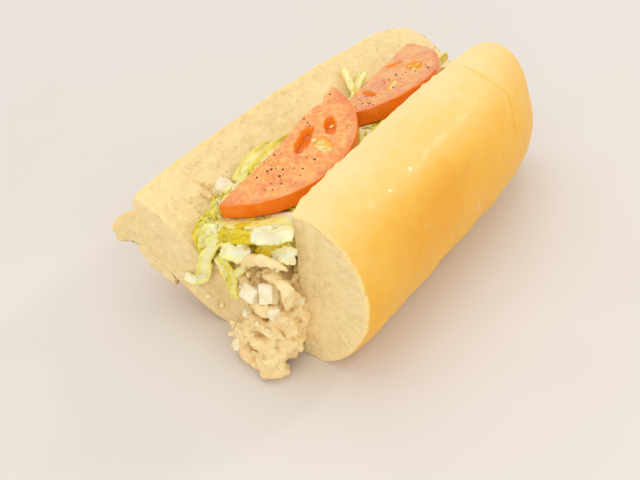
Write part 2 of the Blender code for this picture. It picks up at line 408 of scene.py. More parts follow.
def halfPoints(half, angle, depth, y):
    # angle runs 0 at the hinge to pi at the rim; depth is 0 on the crumb side, 1 on the crust
    hinge, rim = np.array(half["hinge"]), np.array(half["rim"])
    width = np.linalg.norm(rim - hinge)
    tall = tipShare(y, half["length"], half["rimTip"], half["rimBlunt"])
    thick = tipShare(y, half["length"], half["sideTip"], half["sideBlunt"])
    lean = half["drift"] * np.minimum(y / rollShape["leanWithin"], 1.0)
    up = np.stack([rim[0] + lean - hinge[0], np.full_like(y, rim[1] - hinge[1])], 1)
    up /= np.linalg.norm(up, axis=1)[:, None]
    out = np.stack([up[:, 1], -up[:, 0]], 1) * half["side"]
    wide = width + half["swell"] * np.sin(np.pi * np.clip(y / rollShape["swellWithin"], 0, 1)) ** 0.5
    squeezed = 1.0 - half["pinch"] * np.maximum(0.0, 1.0 - y / rollShape["pinchWithin"]) ** 2
    power = 2.0 / half["squareness"]
    c = np.cos(angle)
    v = 0.5 - 0.5 * np.sign(c) * np.abs(c) ** power
    u = half["thickness"] * np.maximum(np.sin(angle), 0.0) ** power * depth
    v = 0.5 + (v - 0.5) * tall + (1.0 - tall) * half["tipRises"]
    p = hinge + up * (v * wide * (0.5 + 0.5 * squeezed))[:, None] + out * (u * thick * squeezed)[:, None]
    flat = np.stack([p[:, 0], y, p[:, 1]], 1)
    (tall1, size1), (tall2, size2) = rollShape["broadLump"], rollShape["smallLump"]
    lump = tall1 * lumpsAt(flat, size1, half["seed"]) + tall2 * lumpsAt(flat, size2, half["seed"] + 3)
    p = p + out * (lump * tall)[:, None]
    yy = y + rollShape["cutSkew"] * np.minimum(p[:, 0], 0.0) * (1.0 - y / rollShape["length"])
    return np.stack([p[:, 0], yy, p[:, 1] - rollShape["pressed"]], 1), v, wide


def lumpsAt(points, size, seed):   # the same noise that shaped the CAD roll
    off = Vector((seed, seed * 0.7, -seed))
    return np.array([noise.noise(Vector(p) / size + off) for p in points])


def browning(half, points, v):
    # pale along the rim and round the tip, browned on the bulge of the crust
    side = np.sin(np.pi * np.clip(v, 0, 1)) ** 0.6
    rimward = softStep(v, half["paleFrom"], 1.0)
    tipward = softStep(points[:, 1], half["length"] - bakeLook["tipLong"], half["length"])
    cutward = 1.0 - softStep(points[:, 1], -8.0, 3.0)
    stainY, stainV = half["stainAt"]
    off = ((points[:, 1] - stainY) / bakeLook["stainLong"]) ** 2
    stain = np.exp(-off - ((v - stainV) / bakeLook["stainTall"]) ** 2)
    bake = bakeLook["least"] + bakeLook["bulge"] * side + bakeLook["stain"] * half["stain"] * stain
    return bake - half["paleRim"] * rimward - half["paleTip"] * tipward - bakeLook["cutEnd"] * cutward


def evenSeam(obj):   # a vertex with enough crumb round it counts as crumb, so the seam runs smoothly
    ends = np.empty(len(obj.data.edges) * 2, dtype=np.int32)
    obj.data.edges.foreach_get("vertices", ends)
    first, second = ends.reshape(-1, 2).T
    crumb = readPaint(obj, "crumb")
    total, count = np.zeros(len(crumb)), np.zeros(len(crumb))
    for a, b in ((first, second), (second, first)):
        np.add.at(total, a, crumb[b])
        np.add.at(count, a, 1)
    paint(obj, "crumb", (total / np.maximum(count, 1) > 0.3).astype(float))


def bakeHalf(name, look):
    half = halves[name]

    def alongY(b):   # closer stations towards the tip
        straight = half["length"] - half["sideTip"]
        share = straight / (half["length"] + 25.0)
        late = np.clip((b - share) / (1 - share), 0, 1)
        rounded = straight + half["sideTip"] * np.sin(late * math.radians(88))
        return np.where(b < share, b / share * straight, rounded)

    def crust(a, b):
        points, v, _ = halfPoints(half, a * math.pi, np.ones_like(a), alongY(b))
        zero = np.zeros_like(a)
        return points, {"crumb": zero, "rind": zero, "bake": browning(half, points, v)}

    def crumb(a, b):
        points, v, wide = halfPoints(half, a * math.pi, np.zeros_like(a), alongY(b))
        near = np.minimum((1.0 - v) * wide, v * wide)
        return points, {"crumb": np.ones_like(a), "rind": np.maximum(near, 0.0), "bake": np.full_like(a, 0.3)}

    def cutFace(a, b):
        angle = a * math.pi
        points, v, wide = halfPoints(half, angle, b, np.zeros_like(a))
        full = half["thickness"] * np.sin(angle)
        away = np.minimum(full * (1.0 - b), (1.0 - v) * wide * 0.6 + full * (1 - b))
        return points, {"crumb": np.ones_like(a), "rind": away, "bake": np.full_like(a, 0.4)}

    sheets = [
        gridSheet("sheet", half["across"], half["along"], crust),
        gridSheet("sheet", half["across"], half["along"], crumb),
        gridSheet("sheet", half["across"], half["deep"], cutFace),
    ]
    obj = joined("roll_" + name, sheets)
    tidyMesh(obj, 0.00003)
    closeHoles(obj)
    evenSeam(obj)
    points, normals = getCoords(obj), getNormals(obj)
    isCrumb = readPaint(obj, "crumb")
    rind = readPaint(obj, "rind")
    edge = softStep(rind, 0.2, 1.6) * isCrumb
    big, small = np.zeros(len(points)), np.zeros(len(points))
    chosen = np.nonzero(isCrumb > 0.5)[0]
    openest = softStep(lumps(points[chosen], 14.0, 6.0), -0.25, 0.35)
    big[chosen] = pits(points[chosen], crumbShape["bigPore"], 1.0) * openest
    small[chosen] = pits(points[chosen], crumbShape["smallPore"], 2.0)
    rough = 0.45 * lumps(points, 7.0, 7.0) + 0.2 * lumps(points, 2.4, 8.0)
    pastCut = softStep(points[:, 1], 2.0, 5.0)   # the cut face itself stays clean
    torn = np.exp(-rind / crumbShape["tornWithin"]) * isCrumb * (0.35 + 0.65 * pastCut)
    ragged = 0.5 * lumps(points, 4.1, 11.0) + 0.3 * lumps(points, 1.6, 12.0)
    move = edge * (rough - crumbShape["bigDeep"] * big - crumbShape["smallDeep"] * small) + torn * ragged
    move += (1.0 - isCrumb) * (0.25 * lumps(points, 11.0, 4.0) + 0.05 * lumps(points, 3.0, 5.0))
    if name == "crown":   # a fine crack curves over the far end of the crust, darkened along its crease with painted shade
        stations = crackLook["stations"]
        crack = KDTree(stations)
        path = [Vector(q) for q in crackLook["path"]]
        for k in range(stations):
            crack.insert(alongPath(path, k / (stations - 1)), k)
        crack.balance()
        away = np.array([crack.find(q)[2] for q in points])
        line = np.exp(-(away / crackLook["wide"]) ** 2) * (1.0 - isCrumb)
        move -= line * crackLook["deep"]
        # painted shade along the crease, added to the browning
        paint(obj, "bake", readPaint(obj, "bake") + line * crackLook["creaseShade"])
    points += normals * move[:, None]
    setCoords(obj, points)
    # where the pores sink in, kept for the painted shade in them
    paint(obj, "pit", np.clip(big + 0.6 * small, 0, 1) * edge)
    nearRim = KDTree(len(points))   # the sharp meeting of crust and crumb is rubbed round
    for k in np.nonzero((isCrumb > 0.5) & (rind < 0.05))[0]:
        nearRim.insert(points[k], int(k))
    nearRim.balance()
    group = obj.vertex_groups.new(name="rubbed")
    for k, q in enumerate(points):
        away = nearRim.find(q)[2]
        if away is not None and away < crumbShape["rubbedWithin"]:
            group.add([k], 1.0 - away / crumbShape["rubbedWithin"], "REPLACE")
    applyModifier(obj, "SMOOTH", factor=0.6, iterations=12, vertex_group="rubbed")
    obj.vertex_groups.clear()
    points, normals = getCoords(obj), getNormals(obj)
    # little lumps left along the rim, but not round the cut face
    nearRind = np.exp(-readPaint(obj, "rind") / crumbShape["scuffWithin"])
    scuffed = nearRind * readPaint(obj, "crumb") * softStep(points[:, 1], 2.0, 5.0)
    scuff = scuffed * np.maximum(0.0, lumps(points, 3.1, 21.0)) * crumbShape["scuffTall"]
    points += normals * scuff[:, None]
    points[:, 2] = np.maximum(points[:, 2], 0.0)
    setCoords(obj, points)
    return finished(obj, "roll", look)


tagShape = {   # the tag of crust: its outer edge from top to bottom, and the line where it leaves the base
    "outline": [(-65.0, 39.0), (-75.5, 32.5), (-81.0, 26.0), (-80.5, 19.5), (-73.0, 21.0),
                (-69.5, 16.5), (-65.0, 11.0), (-56.0, 8.0)],
    "rootAcross": -57.0, "rootTop": 33.0, "rootLong": 20.0, "middle": 4.1, "thick": 3.4, "curl": 2.2,
    "faces": (60, 40),
}


def tornCrust(look):
    # the tag of crust beside the base's cut end: two sheets joined into a leaf that thins and curls
    tag = tagShape
    outer = [Vector((x, 0, z)) for x, z in tag["outline"]]

    def side(sign):
        def place(a, b):
            points, bake = [], []
            for s, t in zip(a, b):
                root = Vector((tag["rootAcross"], 0, tag["rootTop"] - tag["rootLong"] * s))
                p = root.lerp(alongPath(outer, s), t)
                thick = tag["thick"] * (1.0 - t ** 4) ** 0.5 * (1.0 - 0.45 * t) + 0.02
                p.y = rollShape["cutSkew"] * p.x + tag["middle"] + sign * thick - tag["curl"] * t ** 3
                p += Vector((0.7, 0.8, 0.7)) * noise.noise(p / 4.0) * t
                points.append(p)
                bake.append(0.12 * t)
            depth = np.array(b)
            front = 1.0 - softStep(depth, 0.86, 0.99) if sign < 0 else np.zeros(len(points))
            return np.array(points), {"crumb": front, "rind": (1 - depth) * 16.0, "bake": bake}
        return place

    obj = joined("torn_crust", [gridSheet("sheet", *tag["faces"], side(sign)) for sign in (-1, 1)])
    tidyMesh(obj, 0.0003)
    closeHoles(obj)
    points, normals = getCoords(obj), getNormals(obj)
    # painted shade of pores on the tag's crumb, with no pits cut into it
    paint(obj, "pit", pits(points, 2.2, 3.0) * readPaint(obj, "crumb"))
    points += normals * (0.35 * lumps(points, 3.0, 2.0))[:, None]
    setCoords(obj, points)
    return finished(obj, "roll", look)


bread = breadMaterial()
bakeHalf("base", bread)
bakeHalf("crown", bread)
tornCrust(bread)
print("bread done")


# small bits
def wetBitMaterial(name, colour, rough=0.3):
    mat, start, where, plug = newMaterial(name, dict(soft, IOR=1.4))
    shade = start.noise(where, 330.0, 2.0)
    darker = tuple(c * share for c, share in zip(colour[:3], (0.9, 0.84, 0.72))) + (1.0,)
    plug("Base Color", shade.ranged(0.3, 0.7).blend(darker, colour))
    plug("Roughness", shade.ranged(0.2, 0.8, rough - 0.08, rough + 0.12))
    return mat


def ballSeed(fineness=2):
    bpy.ops.mesh.primitive_ico_sphere_add(subdivisions=fineness, radius=1.0)


def speckSeed():
    ballSeed(1)


def diceSeed():
    bpy.ops.mesh.primitive_cube_add(size=2.0)
    bpy.ops.object.mode_set(mode="EDIT")
    bpy.ops.mesh.select_all(action="SELECT")
    bpy.ops.mesh.bevel(offset=0.34, segments=3)
    bpy.ops.mesh.subdivide(number_cuts=2)
    bpy.ops.object.mode_set(mode="OBJECT")


def scatterBits(name, spots, makeSeed, shapeBit):
    # spots are (place, facts); each bit is its own deformed copy of the seed, all joined
    deselect()
    makeSeed()
    seed = bpy.context.object
    coords = [v.co.copy() for v in seed.data.vertices]
    bits = []
    for k, (p, facts) in enumerate(spots):
        bit = ownCopy(seed)
        setCoords(bit, np.array([Vector(p) + shapeBit(k, c, facts) for c in coords]))
        bits.append(bit)
    bpy.data.objects.remove(seed)
    obj = joined(name, bits)
    tidyMesh(obj, 0.000001)
    return obj


# fish salad
saladLook = {
    "cream": srgb(255, 230, 172), "flesh": srgb(247, 214, 152), "shade": srgb(206, 166, 108),
    "dice": srgb(255, 246, 214), "flake": srgb(254, 230, 178),
    "strands": 60, "grain": (0.65, 0.46, -0.6),   # the way the shreds of fish mostly lie
    "folds": [   # path and thickness of the folds that show
        ([(-16, -9, 33), (-19, -10, 35), (-20, -10, 38), (-16, -10, 41), (-11, -10, 44), (-6, -9, 43),
          (-4, -7, 41)], 2.2),
        ([(-19, -12, 20), (-13, -14, 20), (-7, -14, 19), (-2, -12, 15)], 2.1),
        ([(-17, -12, 26), (-10, -14, 27), (-4, -13, 26), (1, -10, 23)], 2.3),
        ([(-8, -11, 38), (-3, -11, 37), (-2, -11, 33), (-3, -11, 28)], 2.2),
        ([(-27, -10, 10), (-23, -11, 9), (-20, -12, 9), (-14, -13, 10)], 1.7),
        ([(-20, -12, 14), (-15, -15, 13), (-9, -16, 13), (-4, -14, 10)], 2.3),
        ([(-19, -14, 8), (-17, -15, 4), (-13, -16, 2)], 2.6),
        ([(-13, -9, 36), (-9, -10, 38), (-6, -9, 38)], 2.0),
        ([(-11, -16, 4), (-7, -17.5, 3), (-4.5, -18.5, 2)], 2.4),
    ],
    "gaps": [(-25, -9, 22), (-18, -10, 34.5), (-14, -13, 8), (-21, -11, 17)], "gapDeep": 2.8, "gapWide": 2.2,
    "coreFace": 0.0014, "heapFace": 0.00056,   # remesh sizes, metres
    "clumpTries": 9000, "clumpsApart": 3.4, "clumpSize": (2.0, 4.0), "strandSize": (0.9, 1.7),
    "cubes": 9, "cubeSize": (0.9, 1.7), "flakes": 46, "flakeSize": (0.7, 1.6),
}


def saladMaterial():
    wet = {"Subsurface Weight": 0.18, "IOR": 1.42}
    mat, start, where, plug = newMaterial("creamy_fish", dict(soft, **wet))
    broad = start.noise(where, 130.0, 4.0)
    fine = start.noise(where, 620.0, 3.0)
    dip = start.attribute("dip")
    colour = broad.ranged(0.35, 0.65).blend(saladLook["flesh"], saladLook["cream"])
    colour = dip.ranged(0.1, 1.0, 0.0, 0.85).blend(colour, saladLook["shade"])
    plug("Base Color", colour)
    plug("Roughness", broad.ranged(0.3, 0.7, 0.32, 0.55))
    plug("Normal", start.bump(fine, 0.35))
    return mat


def strandCoords(ball, path, thick, seed):   # a ball drawn out along a path
    out = []
    for c in ball:
        share = (c.x + 1) / 2
        here = alongPath(path, share)
        along = (alongPath(path, share + 0.05) - alongPath(path, share - 0.05)).normalized()
        sideways = along.cross(Vector((0.3, -0.7, 0.6))).normalized()
        broken = 0.5 * noise.noise(Vector((share * 5.0, seed, c.y * 1.5)))
        broken += 0.4 * noise.noise(Vector((share * 13.0, seed, c.z * 2.5)))
        swell = thick * (0.85 + broken) * (1.0 - 0.6 * abs(c.x) ** 6)
        widen = 0.35 + 0.65 * math.sqrt(max(0.0, 1.0 - c.x * c.x))
        out.append(here + (sideways * c.y + along.cross(sideways) * c.z * 0.8) * swell * widen)
    return np.array(out)


def saladCore(look):
    core = nodeCopy("fish_salad", "salad_core")
    applyModifier(core, "REMESH", mode="VOXEL", voxel_size=saladLook["coreFace"])
    points, normals = getCoords(core), getNormals(core)
    points += normals * (0.9 * lumps(points, 5.0, 3.0) - 1.0)[:, None]
    points[:, 2] = np.maximum(points[:, 2], 0.0)
    setCoords(core, points)
    paint(core, "dip", np.full(len(points), 0.8))
    shadeSmooth(core)
    return finished(core, "fish_salad", look)


def clumpSpots(core, rng):   # places on the core's two ends that show, with their normals
    spots = []
    verts = core.data.vertices
    for _ in range(saladLook["clumpTries"]):
        v = verts[rng.randrange(len(verts))]
        p = v.co / mm + loafCentre
        shows = p.y < 8.0 and v.normal.dot(Vector((0.2, -0.7, 0.5))) > -0.1
        shows = shows or (p.y > 112.0 and v.normal.dot(Vector((-0.2, 0.7, 0.5))) > 0.1)
        if shows and p.z > 0.6 and all((p - q).length > saladLook["clumpsApart"] for q, _ in spots):
            spots.append((p, v.normal.copy()))
    return spots


def clumpCoords(ball, p, n, k, rng):   # a ball stretched, turned and dented
    size = rng.uniform(*saladLook["clumpSize"]) * (0.6 if p.x < -21 and p.z < 16 else 1.0)
    stretch = Vector((rng.uniform(0.6, 1.5), rng.uniform(0.6, 1.5), rng.uniform(0.5, 1.1)))
    turn = rng.uniform(0, 6.28)
    axis = Vector((rng.uniform(-1, 1), rng.uniform(-1, 1), rng.uniform(-1, 1))).normalized()
    spin = Matrix.Rotation(turn, 3, axis)
    out = []
    for c in ball:
        q = Vector((c.x * stretch.x, c.y * stretch.y, c.z * stretch.z)) * size
        dent = 0.55 * noise.noise(c * 1.3 + Vector((k * 1.7, 0, 0)))
        q *= 1.0 + dent + 0.22 * noise.noise(c * 3.1 + Vector((0, k, 0)))
        out.append(p + n * rng.uniform(-0.6, 0.9) * 0.3 + spin @ q)
    return np.array(out)


def saladHeap(core, rng, look):
    # clumps and strands over the parts that show, grown together by a remesh
    spots = clumpSpots(core, rng)
    deselect()
    ballSeed(3)
    seed = bpy.context.object
    ball = [v.co.copy() for v in seed.data.vertices]
    clumps = []
    for k, (p, n) in enumerate(spots):
        clumps.append(ownCopy(seed))
        setCoords(clumps[-1], clumpCoords(ball, p, n, k, rng))
    grain = Vector(saladLook["grain"]).normalized()
    strands = [([Vector(q) for q in path], thick) for path, thick in saladLook["folds"]]
    for k in range(saladLook["strands"]):
        p, n = spots[rng.randrange(len(spots))]
        if p.y < 8.0 and p.x > -4.0:
            continue
        along = (grain + Vector((rng.gauss(0, 0.4), rng.gauss(0, 0.4), rng.gauss(0, 0.4)))).normalized()
        long, lift = rng.uniform(3.0, 6.5), n * rng.uniform(0.6, 2.2)
        path = [p - along * long + lift * 0.4, p + lift, p + along * long + lift * 0.3]
        strands.append((path, rng.uniform(*saladLook["strandSize"])))
    for k, (path, thick) in enumerate(strands):
        clumps.append(ownCopy(seed))
        setCoords(clumps[-1], strandCoords(ball, path, thick, k * 2.1))
    bpy.data.objects.remove(seed)
    heap = joined("salad_clumps", clumps)
    applyModifier(heap, "REMESH", mode="VOXEL", voxel_size=saladLook["heapFace"])
    points, normals = getCoords(heap), getNormals(heap)
    grainAxis = np.array(grain)
    stretched = points - 0.7 * (points @ grainAxis)[:, None] * grainAxis
    ridges = np.abs(lumps(stretched, 1.3, 9.0))
    move = 0.4 - 0.9 * ridges + 0.5 * lumps(points, 2.6, 4.0) + 0.3 * lumps(points, 1.1, 2.0)
    for gap in saladLook["gaps"]:
        away = np.linalg.norm(points - np.array(gap), axis=1)
        move -= saladLook["gapDeep"] * np.exp(-(away / saladLook["gapWide"]) ** 2)
    points += normals * move[:, None]
    points[:, 2] = np.maximum(points[:, 2], 0.05)
    setCoords(heap, points)
    applyModifier(heap, "SMOOTH", factor=0.5, iterations=1)
    paint(heap, "dip", softStep(hollows(heap, 14), -0.15, 0.75))
    shadeSmooth(heap)
    print("salad clumps:", len(spots), "faces", len(heap.data.polygons))
    return finished(heap, "fish_salad", look)


def saladBits(heap, rng):   # onion dice and flakes over the part of the heap that shows
    skin = skinOf(heap)
    facing = Vector((0.3, -0.75, 0.6)).normalized()

    def onSkin():   # a place on the heap that shows, with its normal
        while True:
            start = Vector((rng.uniform(-34, 2), rng.uniform(-18, 4), rng.uniform(1, 44)))
            hit = skin.ray_cast(toRow(start + facing * 40), -facing)
            if hit[0] is not None:
                return hit[0] / mm + loafCentre, hit[1]

    dice = [(Vector((-15.5, -12.5, 29.5)), (Vector((-0.2, -0.85, 0.5)), 2.5)),
            (Vector((-9.6, -11.0, 31.3)), (Vector((0.1, -0.8, 0.6)), 2.6))]
    for _ in range(saladLook["cubes"]):
        spot, out = onSkin()
        dice.append((spot - out * 0.6, (out, rng.uniform(*saladLook["cubeSize"]))))

    def diceBit(k, c, info):
        out, size = info
        turn = out.to_track_quat("Z", "Y").to_matrix() @ Matrix.Rotation(k * 1.9, 3, "Z")
        turn = turn @ Matrix.Rotation(0.5 * math.sin(k * 3.3), 3, "X")
        q = Vector((c.x * 1.25, c.y, c.z * 0.85)) * size
        return turn @ (q * (1 + 0.22 * noise.noise(c * 1.1 + Vector((k, 0, 0)))))

    chopped = scatterBits("chopped_onion", dice, diceSeed, diceBit)
    finished(chopped, None, wetBitMaterial("onion_dice", saladLook["dice"], 0.28))

    flakes = []
    for _ in range(saladLook["flakes"]):
        spot, out = onSkin()
        flakes.append((spot - out * 0.1, (out, rng.uniform(*saladLook["flakeSize"]))))

    def flakeBit(k, c, info):
        out, size = info
        tilt = Matrix.Rotation(0.7 * math.sin(k * 2.7), 3, "X")
        tilt = tilt @ Matrix.Rotation(0.6 * math.cos(k * 1.3), 3, "Y")
        turn = out.to_track_quat("Z", "Y").to_matrix() @ Matrix.Rotation(k * 2.4, 3, "Z") @ tilt
        q = Vector((c.x * 1.5, c.y * 0.6, c.z * 0.3)) * size
        q.z += 0.25 * size * math.sin(c.x * 2.0)
        return turn @ (q * (1 + 0.5 * noise.noise(c * 1.7 + Vector((0, k, 0)))))

    flaked = scatterBits("fish_flakes", flakes, ballSeed, flakeBit)
    return finished(flaked, None, wetBitMaterial("fish_flake", saladLook["flake"], 0.42))


saladLooks = saladMaterial()
saladDraws = random.Random(8)
saladBits(saladHeap(saladCore(saladLooks), saladDraws, saladLooks), saladDraws)
print("salad done")


# tomato
sliceShape = {"radius": 36.0, "thick": 6.0, "offset": 9.6, "sides": 180, "face": 0.42}
# chambers: towards the near end, in from the cut edge, half length, half width, turn, depth, gel
slicePlaces = {
    "tomato_front": {
        "middle": (-41.9, 37.4, 50.2), "heading": 0.6, "pitch": 10.3, "roll": 5.5, "seed": 1.0,
        "chambers": [(-5.0, 7.2, 7.2, 2.7, 17, 1.0, 0.0), (-15.3, 11.6, 5.4, 2.2, 39, 0.9, 0.1),
                     (-5.4, 15.4, 5.2, 2.6, 66, 0.45, 1.0), (16.6, 8.0, 4.2, 1.6, 77, 0.1, 0.0),
                     (-17.0, 18.5, 1.1, 0.9, 0, 0.3, 0.2)],
        "edge": [(-34.7, -0.3), (-28.6, -0.3), (-27.6, 0.4), (-25.2, 1.9), (-23.0, 0.7), (-16.4, -0.6),
                 (-7.0, 0.7), (5.0, 1.3), (22.0, 0.6), (34.7, 0.2)],
        "specks": 62,
        "pepper": [(6.2, 2.7), (-14.5, 0.9), (-13.1, 3.5), (14.1, 5.6), (18.3, 4.4), (12.8, 6.4), (8.1, 16.5),
                   (1.8, 25.2), (17.3, 14.1), (14.5, 11.2), (-30.3, 1.4), (11.2, 10.2), (2.6, 17.5)],
    },
    "tomato_rear": {
        "middle": (-43.5, 99.5, 46.6), "heading": 7.0, "pitch": -0.8, "roll": 19.0, "seed": 6.0,
        "chambers": [(-10.2, 14.4, 5.2, 3.1, 35, 0.8, 0.9), (-12.8, 4.0, 3.8, 2.2, -50, 0.6, 0.1),
                     (14.1, 6.0, 4.2, 1.6, 60, 0.7, 0.0), (7.5, 12.8, 5.8, 1.8, 15, 0.4, 0.6)],
        "edge": [(-34.7, 0.0), (34.7, 0.0)],
        "specks": 44,
        "pepper": [(-1.6, 10.4), (5.7, 8.8), (7.4, 13.3), (-6.5, 22.3), (23.7, 8.4), (24.1, 11.4),
                   (-3.3, 14.0)],
    },
}
tomatoLook = {
    "flesh": srgb(240, 152, 78), "pale": srgb(251, 190, 112), "red": srgb(232, 116, 52),
    # skinSheen: painted highlight, lighter patches standing for the sheen of the wet skin
    "skin": srgb(252, 130, 16), "skinSheen": srgb(254, 168, 66), "wall": srgb(252, 150, 22),
    # pit: painted shade at the bottom of a sunken chamber
    "pit": srgb(226, 108, 16), "gel": srgb(253, 200, 76), "seed": srgb(253, 232, 160),
    "pepper": srgb(92, 54, 26), "chamberDeep": 3.4, "seedsInGel": 16,
}


def slicePose(place):
    return (
        Matrix.Translation(Vector(place["middle"]))
        @ Matrix.Rotation(math.radians(place["heading"] - 90), 4, "Z")
        @ Matrix.Rotation(math.radians(place["pitch"]), 4, "Y")
        @ Matrix.Rotation(math.radians(place["roll"]), 4, "X")
    )


def chamberDepth(place, x, y):
    # x runs towards the near end, y in from the cut edge: how deep a chamber is there, and how gelled
    best, gelled = 0.0, 0.0
    wobble = 0.22 * noise.noise(Vector((x * 0.4, y * 0.4, place["seed"])))
    for towardNear, across, long, wide, turn, deep, gel in place["chambers"]:
        dx, dy = x - towardNear, y - across
        t = math.radians(turn)
        ex = (dx * math.cos(t) + dy * math.sin(t)) / long
        ey = (-dx * math.sin(t) + dy * math.cos(t)) / wide
        q = math.sqrt(ex * ex + ey * ey) + wobble
        inside = 1.0 - float(softStep(q, 0.78, 1.1))
        if deep * inside > best:
            best, gelled = deep * inside, gel * inside
    return best, gelled


def tomatoMaterial():
    look = tomatoLook
    wet = {"Subsurface Weight": 0.16, "Coat Roughness": 0.08, "IOR": 1.38}
    mat, start, where, plug = newMaterial("ripe_tomato", dict(soft, **wet))
    rim = start.attribute("rim")       # millimetres in from the skin
    opened = start.attribute("open")    # 0 on the flesh, 1 at the bottom of a chamber
    gel = start.attribute("gel")
    ray = start.attribute("ray")
    reach = start.attribute("reach")
    rays = start.make("ShaderNodeCombineXYZ", {"X": ray * 9.0, "Y": reach * 0.22, "Z": 0.0})
    fibre = start.noise(rays, 1.6, 4.0, 0.6)
    mottle = start.noise(where, 170.0, 4.0)
    colour = fibre.ranged(0.38, 0.68).blend(look["flesh"], look["pale"])
    colour = mottle.ranged(0.45, 0.72, 0.0, 0.7).blend(colour, look["red"])
    outer = rim.ranged(0.5, 3.4)
    colour = (0.6 - outer * 0.6).blend(colour, look["red"])
    cloudy = start.noise(where, 55.0, 2.0)
    colour = cloudy.ranged(0.5, 0.68, 0.0, 0.5).blend(colour, look["pale"])
    colour = opened.ranged(0.05, 0.3).blend(colour, look["wall"])
    # painted shade, darkest where a chamber sinks deepest
    colour = opened.ranged(0.6, 1.0, 0.0, 0.65).blend(colour, look["pit"])
    colour = gel.ranged(0.1, 0.7, 0.0, 0.9).blend(colour, look["gel"])
    # painted highlight: mottled lighter patches on the skin stand for its wet sheen
    skin = mottle.ranged(0.5, 0.75, 0.0, 0.4).blend(look["skin"], look["skinSheen"])
    colour = rim.ranged(0.05, 0.6).blend(skin, colour)
    plug("Base Color", colour)
    plug("Roughness", mottle.ranged(0.35, 0.7, 0.28, 0.48))
    droplets = start.noise(where, 640.0, 2.0)
    plug("Coat Weight", mottle.ranged(0.42, 0.6, 0.05, 0.7))
    plug("Normal", start.bump(droplets + fibre * 0.5, 0.5))
    return mat


def tomatoSlice(node, look):
    place, shape = slicePlaces[node], sliceShape
    pose = slicePose(place)
    deselect()
    bpy.ops.mesh.primitive_cylinder_add(vertices=shape["sides"], radius=shape["radius"], depth=shape["thick"],
                                        location=(0, -shape["offset"], -shape["thick"] / 2))
    obj = bpy.context.object
    bpy.ops.object.transform_apply()
    bpy.ops.object.mode_set(mode="EDIT")
    bpy.ops.mesh.select_all(action="SELECT")
    bpy.ops.mesh.bisect(plane_co=(0, 0, 0), plane_no=(0, -1, 0), use_fill=True, clear_outer=True)
    bpy.ops.object.mode_set(mode="OBJECT")
    applyModifier(obj, "REMESH", mode="VOXEL", voxel_size=shape["face"])
    applyModifier(obj, "SMOOTH", factor=0.5, iterations=2)
    count = len(obj.data.vertices)
    rim, opened, gel, ray, reach = (np.zeros(count) for _ in range(5))
    edgeAt, edgeIn = zip(*place["edge"])
    placed = []
    half = shape["thick"] / 2
    for i, v in enumerate(obj.data.vertices):
        x, y, z = v.co
        r = math.hypot(x, y + shape["offset"])
        upper = z > -half
        deep, gelled = chamberDepth(place, x, y)
        face = float(softStep(abs(z + half), half - 0.7, half - 0.25))
        bulge = 0.28 * noise.noise(Vector((x, y, 5 * place["seed"])) / 5.0)
        bulge += 0.1 * noise.noise(Vector((x, y, 9)) / 1.6)
        sink = tomatoLook["chamberDeep"] * deep * face
        v.co.z += (bulge - sink) if upper else (-bulge * 0.5 + 0.3 * sink)
        v.co.y += float(np.interp(x, edgeAt, edgeIn)) * max(0.0, 1.0 - y / 7.0)
        if y < 1.5:
            v.co.y += 0.3 * noise.noise(Vector((x, 0, z)) / 2.2)
        within = shape["radius"] - r
        onSkin = face < 0.5 and not upper and within < 1.4
        rim[i] = max(0.0, within) if (face > 0.5 or within > 1.2) and not onSkin else 0.0
        opened[i], gel[i] = deep * face, gelled * face
        ray[i] = math.atan2(y + shape["offset"], x)
        reach[i] = r
        placed.append(pose @ v.co)
    setCoords(obj, np.array(placed))
    for key, values in (("rim", rim), ("open", opened), ("gel", gel), ("ray", ray), ("reach", reach)):
        paint(obj, key, values)
    obj.name = node.replace("tomato", "slice")
    tidyMesh(obj, 0.00001)
    return finished(obj, node, look)


